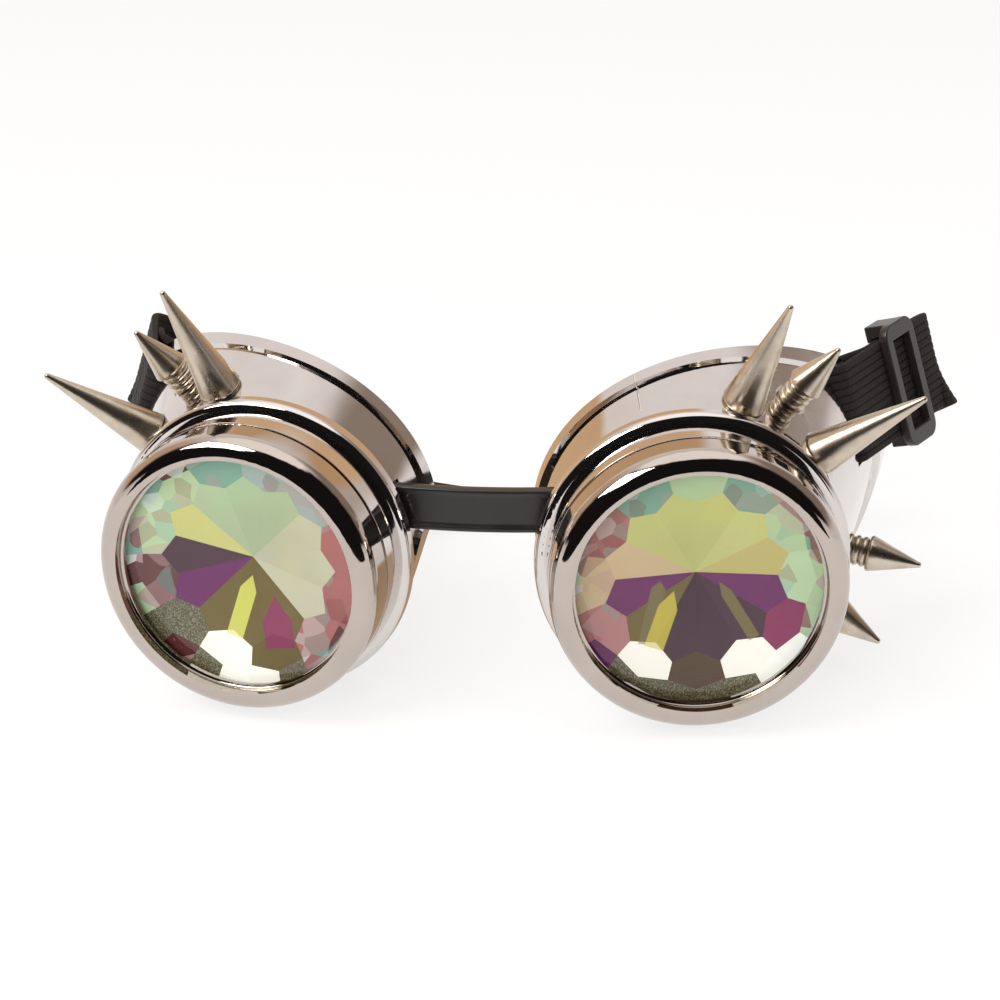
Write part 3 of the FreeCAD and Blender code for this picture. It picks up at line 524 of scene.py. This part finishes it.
# Crystal lenses: a clear front over facets with an iridescent coat
lensLook = {
    # Facet tints are partly the coat's own colour and partly painted reflection: pale where a facet would
    # mirror the bright room, dark where it would mirror the dark room
    "tints": {
        "lime": (0.67, 0.70, 0.26), "straw": (0.62, 0.55, 0.20), "tan": (0.72, 0.57, 0.35),
        "mint": (0.57, 0.78, 0.50), "aqua": (0.26, 0.50, 0.44), "mist": (0.46, 0.58, 0.60),
        "cream": (0.67, 0.70, 0.54), "leaf": (0.51, 0.67, 0.44), "rose": (0.50, 0.18, 0.19),
        "ember": (0.15, 0.035, 0.04), "violet": (0.16, 0.006, 0.14), "plum": (0.070, 0.018, 0.045),
        "magenta": (0.30, 0.02, 0.12), "olive": (0.18, 0.13, 0.025), "brown": (0.13, 0.08, 0.04),
        # the nearly white tint is a painted glint, a painted highlight of the lamps in a facet
        "mottle": (0.12, 0.10, 0.06), "glint": (1.0, 1.0, 0.95)},
    # facets anticlockwise from the viewer's right, as seen from the front; stripes of painted inner
    # reflection in millimetres from the middle, each with its start, end, width, length of its point and
    # tint
    "right": {
        "first": 15.0,
        "main": "straw lime lime lime lime tan violet olive plum plum plum violet".split(),
        "star": "mint mint aqua mint aqua rose tan rose glint brown glint magenta".split(),
        "rim": ("mint aqua ember mint aqua ember ember aqua mist ember rose mint tan rose violet mottle "
                "mottle mottle mottle mottle glint glint mint mint").split(),
        "reflectionStripes": [((-7.2, -1.2), (-10.2, -13.6), 2.8, 1.5, (0.22, 0.17, 0.06)),
                    ((-4.6, -3.4), (-8.6, -14.4), 3.8, 3.4, (0.65, 0.53, 0.06)),
                    ((4.0, -1.8), (10.6, -12.8), 2.2, 2.6, (0.21, 0.16, 0.05))]},
    "left": {
        "first": 0.0,
        "main": "cream cream leaf leaf leaf lime plum violet olive olive olive cream".split(),
        "star": "rose rose mist mist aqua mint mint ember mottle glint olive rose".split(),
        "rim": ("rose mist glint tan mist aqua aqua mist ember aqua mint aqua ember mint mottle ember "
                "mottle glint glint mottle rose ember rose mist").split(),
        "reflectionStripes": [((4.9, -7.2), (6.4, -17.4), 6.2, 5.0, (0.30, 0.03, 0.12)),
                    ((0.4, -3.6), (-3.2, -16.0), 3.4, 3.0, (0.78, 0.78, 0.15))]},
    # how far a facet breaks up, which tints stay whole, how far a coated facet leans back at the least, the
    # slopes in degrees that end each kind of facet, and the angle up to which the crystal shades smoothly
    "broken": {"main": 0.0, "star": 0.35, "rim": 0.8, "mottle": 1.0},
    "whole": ("glint", "brown", "plum", "violet", "magenta", "olive"),
    "leastLean": 0.3, "mainSlope": 12, "starSlope": 19, "angle": 1.0,
}

coatLook = {
    "drift": 60.0, "driftEdges": (0.3, 0.7), "driftTint": (1.06, 0.95, 0.92), "driftHaze": 0.1,
    "rough": 0.16, "metal": 0.15, "shine": 0.3, "stripeEdge": 0.06, "stripeEnd": 0.15,
    "shards": ((0.30, 0.06, 0.07), (0.24, 0.52, 0.47), (0.85, 0.92, 0.92), (0.60, 0.36, 0.38)),
    "cell": (4.5, 0.22), "firstPick": 0.27, "pickStep": 0.22, "pickEdge": 0.01, "keepEdges": (0.48, 0.50),
    "mottleEdges": (0.85, 0.95), "fleck": 3600.0, "fleckRough": 0.7, "fleckEdges": (0.42, 0.70),
    "fleckShare": 0.75, "fleckTint": (0.55, 0.52, 0.36),
    "speck": 2400.0, "speckEdges": (0.64, 0.72), "speckShare": (0.08, 0.2), "speckTint": (0.72, 0.70, 0.52),
    # the rim keys paint a pale highlight along the lens edge
    "rimGlintEdges": (22.9, 23.5), "rimGlintLean": 0.6, "rimGlintFade": (-16.0, -6.0), "rimGlintShare": 0.5,
    # the glint keys make the nearly white facets glow, a painted highlight
    "rimGlintTint": (0.70, 0.92, 0.92), "paintedGlintEdges": (0.90, 0.94), "paintedGlintTint": (1.0, 1.0, 0.95), "glow": 0.35,
}


# A pointed stripe of painted inner reflection, as a mask over the lens
def paintedStripeMask(tree, across, upward, stripe, look):
    start, end, width, point, _ = stripe
    length = math.dist(start, end)
    dirX, dirY = (end[0] - start[0]) / length, (end[1] - start[1]) / length
    along = (across - start[0]) * dirX + (upward - start[1]) * dirY
    beside = ((upward - start[1]) * dirX - (across - start[0]) * dirY).math("ABSOLUTE")
    taper = (along / point).math("MINIMUM", 1.0) * (width / 2)
    inside = tree.smooth(taper - beside, -look["stripeEdge"], look["stripeEdge"])
    return inside * tree.smooth(along, length, length - look["stripeEnd"])


# The coat's colour comes from each facet's tint, which is partly the coat's own colour and partly painted
# reflection, drifts a little across it and carries stripes; the tint's alpha says how far a facet breaks up
# into shards of other colours, or at the most that it is mottled
def coatMaterial(name, reflectionStripes, look):
    material, tree = newTree(name)
    paint = tree.node("ShaderNodeVertexColor", {"layer_name": "coat"}, {})
    broken = tree.node("ShaderNodeVertexColor", {"layer_name": "coat"}, {}, 1)
    across, upward = tree.uvMap("face")
    place = objectPlace(tree)
    drift = tree.noise(place, look["drift"], detail=2.0)
    drifted = tree.smooth(drift, *look["driftEdges"])
    colour = tree.node("ShaderNodeMix", {"data_type": "RGBA", "blend_type": "MULTIPLY"},
                       {0: drifted, 6: paint, 7: solid(look["driftTint"])}, 2)
    # stripes of painted inner reflection laid over the facets
    for stripe in reflectionStripes:
        colour = tree.mix(paintedStripeMask(tree, across, upward, stripe, look), colour, solid(stripe[-1]))

    # shards in cells that follow the rim
    around = upward.math("ARCTAN2", across)
    reach = (across * across + upward * upward).math("SQRT")
    polar = tree.node("ShaderNodeCombineXYZ", {}, {0: around * look["cell"][0], 1: reach * look["cell"][1]})
    cell = tree.node("ShaderNodeTexVoronoi", {}, {"Vector": polar, "Scale": 1.0}, 1)
    pick, keep = [tree.node("ShaderNodeSeparateColor", {}, {"Color": cell}, out) for out in (0, 1)]
    shard = solid(look["shards"][0])
    for i, tint in enumerate(look["shards"][1:]):
        level = look["firstPick"] + look["pickStep"] * i
        shard = tree.mix(tree.smooth(pick, level, level + look["pickEdge"]), shard, solid(tint))
    mottled = tree.smooth(broken, *look["mottleEdges"])
    colour = tree.mix((broken - mottled) * tree.smooth(keep, *look["keepEdges"]), colour, shard)

    # flecks on the mottled facets, specks everywhere, and a painted highlight along the rim: a pale edge
    # that fades towards the lower left
    fleck = tree.smooth(tree.noise(place, look["fleck"], rough=look["fleckRough"]), *look["fleckEdges"])
    colour = tree.mix(fleck * mottled * look["fleckShare"], colour, solid(look["fleckTint"]))
    speck = tree.smooth(tree.noise(place, look["speck"], detail=2.0), *look["speckEdges"])
    speckShare = speck * (look["speckShare"][0] + look["speckShare"][1] * broken)
    colour = tree.mix(speckShare, colour, solid(look["speckTint"]))
    lit = tree.smooth(upward + look["rimGlintLean"] * across, *look["rimGlintFade"])
    edge = tree.smooth(reach, *look["rimGlintEdges"]) * lit
    colour = tree.mix(edge * look["rimGlintShare"], colour, solid(look["rimGlintTint"]))
    # the nearly white facets are painted glints: painted highlights, lifted further by a painted glow in the
    # emission
    blue = tree.node("ShaderNodeSeparateColor", {}, {"Color": paint}, 2)
    glint = tree.smooth(blue, *look["paintedGlintEdges"])
    rough = look["rough"] + look["driftHaze"] * drift
    light = tree.mix(glint, solid((0.0, 0.0, 0.0)), solid(look["paintedGlintTint"]))
    tree.finish({"Base Color": colour, "Metallic": look["metal"], "Roughness": rough,
                 "Specular IOR Level": look["shine"], "Emission Color": light,
                 "Emission Strength": look["glow"]})
    return material


# The clear body: seen through, with the gloss of glass on top
glassLook = {"clear": (0.97, 0.99, 0.98), "gloss": (0.9, 0.95, 0.93), "haze": 160.0, "rough": 0.01,
             "hazeRough": 0.02, "index": 1.52}


def glassMaterial(name, look):
    material, tree = newTree(name)
    haze = tree.noise(objectPlace(tree), look["haze"])
    clear = tree.node("ShaderNodeBsdfTransparent", {}, {"Color": solid(look["clear"])})
    rough = look["rough"] + look["hazeRough"] * haze
    gloss = tree.node("ShaderNodeBsdfPrincipled", {}, {"Base Color": solid(look["gloss"]), "Metallic": 1.0,
                                                       "Roughness": rough})
    share = tree.node("ShaderNodeFresnel", {}, {"IOR": look["index"]})
    tree.output(tree.node("ShaderNodeMixShader", {}, {0: share, 1: clear, 2: gloss}))
    return material


crystalGlass = glassMaterial("crystalGlass", glassLook)


# The kind and tint of a facet, from its slope and its turn
def facetTint(own, look, slope, angle):
    petal = 360 / len(own["main"])
    if slope < look["mainSlope"]:
        kind, place = "main", angle / petal
    elif slope < look["starSlope"]:
        kind, place = "star", (angle + petal / 2) / petal
    else:
        kind, place = "rim", (angle + own["first"] - petal / 4) / (petal / 2)
    return kind, own[kind][round(place) % len(own[kind])]


def crystalLens(side, look):
    own = look[side]
    piece = smoothCopy("crystal_lens_" + side, "crystal_" + side, side + "_cup", crystalGlass,
                       look["angle"])
    piece.data.materials.append(coatMaterial("crystalCoat_" + side, own["reflectionStripes"], coatLook))
    middle, back, across = cupAxes(side)
    low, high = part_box("crystal_lens_" + side)
    centre = Vector((middle.x, (low.y + high.y) / 2, (low.z + high.z) / 2))
    paint = piece.data.color_attributes.new("coat", "FLOAT_COLOR", "CORNER")
    layer = piece.data.uv_layers.new(name="face")
    for face in piece.data.polygons:
        lean = face.normal.dot(back)
        if lean < look["leastLean"]:
            continue
        face.material_index = 1
        slope = math.degrees(math.acos(min(lean, 1.0)))
        angle = (math.degrees(math.atan2(face.normal.z, face.normal.dot(across))) - own["first"]) % 360
        kind, tint = facetTint(own, look, slope, angle)
        broken = 0.0 if tint in look["whole"] else look["broken"].get(tint, look["broken"][kind])
        for loop in face.loop_indices:
            spot = piece.data.vertices[piece.data.loops[loop].vertex_index].co - centre
            layer.data[loop].uv = (1000 * spot.dot(across), 1000 * spot.z)
            paint.data[loop].color = (*look["tints"][tint], broken)


for side in sides:
    crystalLens(side, lensLook)
print("lenses cut")


# Strap: ribbed elastic swept as a closed section, so that both faces carry ribs
strapLook = {
    "width": 0.020, "thickness": 0.0011, "ribs": 13, "ribHeight": 0.00012, "edge": 0.0006, "edgeShare": 0.45,
    "ribSpots": (0.0, 0.1, 0.3, 0.7, 0.9), "step": 0.0008,
    "layer": 0.0025, "loopX": -0.0032, "loopSteps": 14, "joinStart": 0.003, "underLayer": -0.0011,
    "joinEase": 0.0015,
    "straight": {"right": 0.032, "left": 0.017}, "joinEnd": {"right": 0.0085, "left": 0.0065},
    "tail": {"right": 0.026, "left": 0.0105}, "heading": {"right": 64.0, "left": 76.0}, "tilt": 17.0,
    "foot": (0.034611, 0.0455, 0.018171),
    "easeOut": {"right": 0.012, "left": 0.014}, "easeIn": 0.045, "middle": (0.0, 0.0923074, 0.0007),
    "rearSteps": 150,
}


def ribSection(look):
    width, ribs = look["width"], look["ribs"]
    half = width / 2
    spots = [-half + width * (rib + share) / ribs for rib in range(ribs) for share in look["ribSpots"]]
    face = []
    for spot in spots + [half]:
        share = ((spot / width + 0.5) * ribs) % 1.0
        rise = look["ribHeight"] * (1 - (2 * share - 1) ** 4)
        close = min(1.0, (half - abs(spot)) / look["edge"])
        full = look["edgeShare"] + (1 - look["edgeShare"]) * math.sqrt(close * (2 - close))
        face.append((spot, look["thickness"] / 2 * full + rise))
    return face + [(spot, -rise) for spot, rise in reversed(face)]


def mirrorOf(side):
    return Matrix.Diagonal((sides[side], 1, 1, 1))


# The strap's own frame at a cup's bar: along the strap, inward, and up its width
def strapFrame(side, look):
    foot = Matrix.Rotation(math.radians(cupStand["toe"]), 4, "Z") @ Vector(look["foot"])
    turn = Matrix.Rotation(math.radians(look["heading"][side]), 4, "Z")
    lean = Matrix.Rotation(math.radians(-look["tilt"]), 4, "X")
    return mirrorOf(side) @ Matrix.Translation(Vector(cupStand["place"]) + foot) @ turn @ lean


def straightPoints(start, end, step):
    count = max(2, round((end - start).length / step))
    return [start.lerp(end, i / count) for i in range(count)]


# A path through corners, each eased by a short curve
def easedPath(corners, ease, step):
    path = []
    start = corners[0]
    for corner, after in zip(corners[1:], corners[2:]):
        before = corner + (start - corner).normalized() * ease
        beyond = corner + (after - corner).normalized() * ease
        path += straightPoints(start, before, step)
        path += [before.lerp(corner, t).lerp(corner.lerp(beyond, t), t) for t in (0.0, 0.2, 0.4, 0.6, 0.8)]
        start = beyond
    return path + straightPoints(start, corners[-1], step) + [corners[-1]]


# The stretch sewn or buckled round a cup's bar
def barStretch(side, look):
    layer, under = look["layer"], look["underLayer"]
    loop = Vector((look["loopX"], 0, 0))
    outer = Vector((look["straight"][side], -layer, 0))
    path = straightPoints(outer, loop - Vector((0, layer, 0)), look["step"])
    bend = [math.radians(-90 - 180 * i / look["loopSteps"]) for i in range(look["loopSteps"])]
    path += [loop + Vector((math.cos(a), math.sin(a), 0)) * layer for a in bend]
    path += easedPath([loop + Vector((0, layer, 0)), Vector((look["joinStart"], layer, 0)),
                       Vector((look["joinEnd"][side], under, 0)), Vector((look["tail"][side], under, 0))],
                      look["joinEase"], look["step"])
    place = strapFrame(side, look)
    turn = place.to_3x3()
    stations = []
    for i, point in enumerate(path):
        along = (path[min(i + 1, len(path) - 1)] - path[max(i - 1, 0)]).normalized()
        stations.append((place @ point, turn @ Vector((0, 0, 1)), turn @ Vector((along.y, -along.x, 0))))
    return stations


# Half of the loose rear stretch, from a cup to the middle of the table, rolling over as it goes
def rearHalf(side, look):
    mirror = mirrorOf(side)
    place = mirror @ strapFrame(side, look)
    start = place @ Vector((look["straight"][side], -look["layer"], 0))
    middle = Vector(look["middle"])
    first = start + place.to_3x3() @ Vector((1, 0, 0)) * look["easeOut"][side]
    second = middle + Vector((look["easeIn"], 0, 0))
    turn = mirror.to_3x3()
    stations = []
    for i in range(look["rearSteps"] + 1):
        t = i / look["rearSteps"]
        s = 1 - t
        centre = start * s ** 3 + first * 3 * s * s * t + second * 3 * s * t * t + middle * t ** 3
        ahead = (first - start) * s * s + (second - first) * 2 * s * t + (middle - second) * t * t
        along = ahead.normalized()
        upward = (Vector((0, 0, 1)) - along * along.z).normalized()
        inward = upward.cross(along)
        roll = math.radians(look["tilt"] + (90 - look["tilt"]) * t * t * (3 - 2 * t))
        across = upward * math.cos(roll) + inward * math.sin(roll)
        stations.append((mirror @ centre, turn @ across, turn @ across.cross(along)))
    return stations


# Two rows of stitches that hold the left loop
stitchLook = {"rows": (0.0097, 0.0074), "out": -0.0032, "count": 8, "pitch": 0.0024,
              "dims": (0.00045, 0.0003, 0.0016), "bevel": 0.0001}


def stitches(look):
    flip = Matrix.Diagonal((1, 1, -1, 1))
    made = []
    for row in look["rows"]:
        for i in range(look["count"]):
            up = look["pitch"] * (i - (look["count"] - 1) / 2)
            place = strapFrame("left", strapLook) @ Matrix.Translation((row, look["out"], up)) @ flip
            made.append(softBlock("stitch", look["dims"], place, look["bevel"]))
            dress(made[-1], stitchThread)
    return made


strapSection = ribSection(strapLook)
for side in sides:
    stretch = sweep("elastic_" + side, strapSection, barStretch(side, strapLook))
    dress(stretch, elasticWeave)
    if side == "left":
        stretch = joined(stitches(stitchLook) + [stretch])
    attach(stretch, side + "_cup")
    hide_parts("strap_" + side)
rightHalf = rearHalf("right", strapLook)
leftHalf = rearHalf("left", strapLook)
rear = sweep("elastic_rear", strapSection, rightHalf + leftHalf[-2::-1])
dress(rear, elasticWeave)
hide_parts("strap_rear")
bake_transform(rear)
print("straps woven")

# Bridge: a glossy vinyl strip with thick edges, and a cross bar inside each cup
bridgeLook = {"radius": 0.102181, "spread": 9.2, "centreZ": 0.0389, "height": 0.0088, "web": 0.0017,
              "rib": 0.0011, "proud": 0.00035, "soft": 0.0003, "steps": 48}
barLook = {"dims": (0.0020, 0.0032, 0.0126), "radius": 0.0239, "depth": 0.0202, "lift": 20.45,
           "bevel": 0.0004}


def bridgeSection(look):
    top = look["height"] / 2
    web = look["web"] / 2
    edge = web + look["proud"]
    soft = look["soft"]
    face = [(top, edge - 2 * soft), (top - 0.3 * soft, edge - 0.8 * soft), (top - soft, edge),
            (top - look["rib"] + soft, edge), (top - look["rib"], edge - 0.4 * soft),
            (top - look["rib"] - soft, web), (top - look["rib"] - 2.5 * soft, web)]
    half = face + [(-across, out) for across, out in reversed(face)]
    return half + [(across, -out) for across, out in reversed(half)]


def bridgeStations(look):
    stations = []
    for i in range(look["steps"] + 1):
        angle = math.radians(look["spread"] * (2 * i / look["steps"] - 1))
        outward = Vector((math.sin(angle), -math.cos(angle), 0))
        centre = Vector((0, look["radius"], look["centreZ"])) + outward * look["radius"]
        stations.append((centre, Vector((0, 0, 1)), outward))
    return stations


def noseBars(look):
    cupPlace = Matrix.Translation(cupStand["place"]) @ Matrix.Rotation(math.radians(cupStand["toe"]), 4, "Z")
    place = (cupPlace @ Matrix.Translation((0, look["depth"], 0))
             @ Matrix.Rotation(math.radians(180 + look["lift"]), 4, "Y")
             @ Matrix.Translation((look["radius"], 0, 0)))
    swap = mirrorOf("left")
    return [softBlock("nose_bar_right", look["dims"], place, look["bevel"]),
            softBlock("nose_bar_left", look["dims"], swap @ place @ swap, look["bevel"])]


strip = sweep("nose_strip", bridgeSection(bridgeLook), bridgeStations(bridgeLook))
strip = joined(noseBars(barLook) + [strip])
dress(strip, bridgeVinyl)
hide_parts("bridge_strip")
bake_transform(strip)
print("bridge moulded")

# Camera at the photograph's place, fitted from the two lens rings
view = {"place": (0.070585, -0.490823, 0.242401), "lens": 100.8, "sensor": 36.0,
        "right": (0.99190, 0.12584, -0.01770), "up": (-0.03116, 0.37588, 0.92615),
        "back": (0.12320, -0.91809, 0.37676)}
cameraData = bpy.data.cameras.new("camera")
cameraData.lens = view["lens"]
cameraData.sensor_width = view["sensor"]
camera = bpy.data.objects.new("camera", cameraData)
scene.collection.objects.link(camera)
turn = Matrix((view["right"], view["up"], view["back"])).transposed().to_4x4()
camera.matrix_world = Matrix.Translation(view["place"]) @ turn
scene.camera = camera

# Pale floor that keeps the shadow, whitened for the camera, for mirrors and through glass; the rays are the
# numbers of the light path's outputs
floorLook = {"size": 6.0, "drop": 0.0001, "paint": (0.86, 0.855, 0.85), "white": (1.0, 1.0, 1.0),
             "shown": 0.75, "rays": {"camera": 0, "glossy": 3, "transmission": 6}}
clearSelection()
bpy.ops.mesh.primitive_plane_add(size=floorLook["size"], location=(0, 0, -floorLook["drop"]))
floor = bpy.context.object
floor.name = "floor"
floorPaint, tree = newTree("floorPaint")
diffuse = tree.node("ShaderNodeBsdfDiffuse", {}, {"Color": solid(floorLook["paint"])})
glow = tree.node("ShaderNodeEmission", {}, {"Color": solid(floorLook["white"]), "Strength": 1.0})
rays = [tree.node("ShaderNodeLightPath", {}, {}, out) for out in floorLook["rays"].values()]
shown = (rays[0] + rays[1] + rays[2]).math("MINIMUM", 1.0)
tree.output(tree.node("ShaderNodeMixShader", {}, {0: shown * floorLook["shown"], 1: diffuse, 2: glow}))
dress(floor, floorPaint)

# Studio: a pale wall behind with tan left and brown right flanks, a dark room in front, a white ceiling;
# each pair is where a fade begins and ends, in X, Y or Z of the direction from the object
roomLook = {"pale": (1.0, 0.945, 0.92), "dark": (0.012, 0.011, 0.011), "white": (1.4, 1.37, 1.33),
            "tan": (0.80, 0.58, 0.41), "brown": (0.34, 0.27, 0.22),
            "lowZ": (0.0, 0.18), "highZ": (0.90, 0.72), "tanX": (-0.35, -0.75), "tanY": (0.68, 0.42),
            "brownX": (0.18, 0.55), "brownY": (0.95, 0.60),
            "frontY": (0.10, -0.20), "frontZ": (0.02, 0.10), "ceilingZ": (0.84, 0.90)}
world = bpy.data.worlds.new("studio")
scene.world = world
tree = Tree(world)
across, depth, height = tree.parts(tree.node("ShaderNodeTexCoord", {}, {}, 0), 3)
band = tree.smooth(height, *roomLook["lowZ"]) * tree.smooth(height, *roomLook["highZ"])
leftFlank = band * tree.smooth(across, *roomLook["tanX"]) * tree.smooth(depth, *roomLook["tanY"])
rightFlank = band * tree.smooth(across, *roomLook["brownX"]) * tree.smooth(depth, *roomLook["brownY"])
front = tree.smooth(depth, *roomLook["frontY"]) * tree.smooth(height, *roomLook["frontZ"])
wall = tree.mix(leftFlank, solid(roomLook["pale"]), solid(roomLook["tan"]))
wall = tree.mix(rightFlank, wall, solid(roomLook["brown"]))
room = tree.mix(front, wall, solid(roomLook["dark"]))
sky = tree.mix(tree.smooth(height, *roomLook["ceilingZ"]), room, solid(roomLook["white"]))
background = tree.node("ShaderNodeBackground", {}, {"Color": sky, "Strength": 1.0})
tree.node("ShaderNodeOutputWorld", {}, {"Surface": background})

# Soft boxes: place, size, power, tint, and whether mirrors show them
boxLook = {
    "keyBox": ((-0.615, -0.504, 0.9), (0.75, 0.45), 9.0, (1.0, 0.97, 0.93), True),
    "frontFill": ((-0.15, -1.0, 0.55), (0.6, 0.6), 9.0, (1.0, 0.98, 0.96), False),
    "sideFill": ((0.8, -0.3, 0.6), (0.5, 0.5), 3.0, (1.0, 0.98, 0.96), False),
}
boxAim = Vector((0, 0, 0.03))


def softBox(name, place, size, power, tint, mirrored):
    lampData = bpy.data.lights.new(name, "AREA")
    lampData.shape = "RECTANGLE"
    lampData.size, lampData.size_y = size
    lampData.energy = power
    lampData.color = tint
    lamp = bpy.data.objects.new(name, lampData)
    scene.collection.objects.link(lamp)
    lamp.location = place
    lamp.rotation_euler = (boxAim - Vector(place)).to_track_quat("-Z", "Y").to_euler()
    lamp.visible_glossy = mirrored


# Cards that only mirrors see, soft at their edges: warm ones behind and below the nose, a black one in
# front; each with its place, size, colour and lean in degrees
cardLook = {
    "warmCard": ((-0.014, 0.078, 0.050), (0.124, 0.128), (0.76, 0.50, 0.29), 90.0),
    "lowCard": ((0.006, 0.045, 0.0005), (0.09, 0.09), (0.50, 0.35, 0.22), 0.0),
    "darkCard": ((0, -0.20, 0.07), (0.7, 0.16), (0.012, 0.011, 0.011), 90.0),
}
cardSoft = 0.012


def mirrorCard(name, place, size, colour, lean):
    clearSelection()
    bpy.ops.mesh.primitive_plane_add(size=1.0)
    card = bpy.context.object
    card.name = name
    card.scale = (size[0], size[1], 1.0)
    card.rotation_euler = (math.radians(lean), 0, 0)
    card.location = place
    bpy.ops.object.transform_apply(location=False, rotation=False, scale=True)
    paint, tree = newTree(name + "Paint")
    spots = tree.parts(objectPlace(tree), 2)
    coverX, coverY = [tree.smooth(spot.math("ABSOLUTE"), length / 2, length / 2 - cardSoft)
                      for spot, length in zip(spots, size)]
    lit = tree.node("ShaderNodeEmission", {}, {"Color": solid(colour), "Strength": 1.0})
    clear = tree.node("ShaderNodeBsdfTransparent", {}, {})
    tree.output(tree.node("ShaderNodeMixShader", {}, {0: coverX * coverY, 1: clear, 2: lit}))
    dress(card, paint)
    card.visible_camera = False
    card.visible_diffuse = False
    card.visible_shadow = False
    card.visible_transmission = False


softBox("keyBox", *boxLook["keyBox"])
for name, look in cardLook.items():
    mirrorCard(name, *look)
for name in ("frontFill", "sideFill"):
    softBox(name, *boxLook[name])
print("stage ready")
